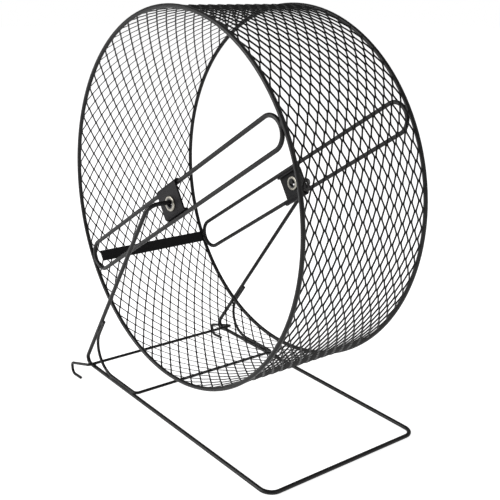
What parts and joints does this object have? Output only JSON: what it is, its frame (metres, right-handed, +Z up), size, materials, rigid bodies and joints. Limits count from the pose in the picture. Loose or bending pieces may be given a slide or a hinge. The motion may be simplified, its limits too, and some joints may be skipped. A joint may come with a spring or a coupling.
{
  "type": "rodent exercise wheel",
  "caption": "Wire-mesh running wheel for a rodent: an open drum between two rims turns on the axle pins of a bent wire stand with cage hooks.",
  "frame": {"origin": "on the floor below the middle of the axle", "axes": "+Z up, +Y along the axle to the left, +X towards the open end of the base"},
  "size_m": [0.28, 0.1612, 0.3145],
  "materials": {
    "coated_rod": "satin black coating",
    "coated_thin_wire": "satin black coating",
    "coated_mesh": "satin black coating",
    "coated_plate": "satin black coating",
    "eyelet_metal": "nickel plated, dulled"
  },
  "bodies": {
    "stand": {"stand_frame": "coated_rod", "brace_wire": "coated_thin_wire", "hook_wire": "coated_thin_wire"},
    "wheel": {"mesh_drum": "coated_mesh", "seam_strip": "coated_mesh", "left_rim": "coated_rod", "right_rim": "coated_rod", "left_spoke_loop": "coated_rod", "right_spoke_loop": "coated_rod", "left_hub_plate": "coated_plate", "right_hub_plate": "coated_plate", "left_eyelet": "eyelet_metal", "right_eyelet": "eyelet_metal"}
  },
  "joints": [
    {"name": "wheel_spin", "type": "hinge", "parent": "stand", "child": "wheel", "pos_m": [0, 0, 0.1745], "axis": [0, 1, 0], "continuous": true}
  ]
}
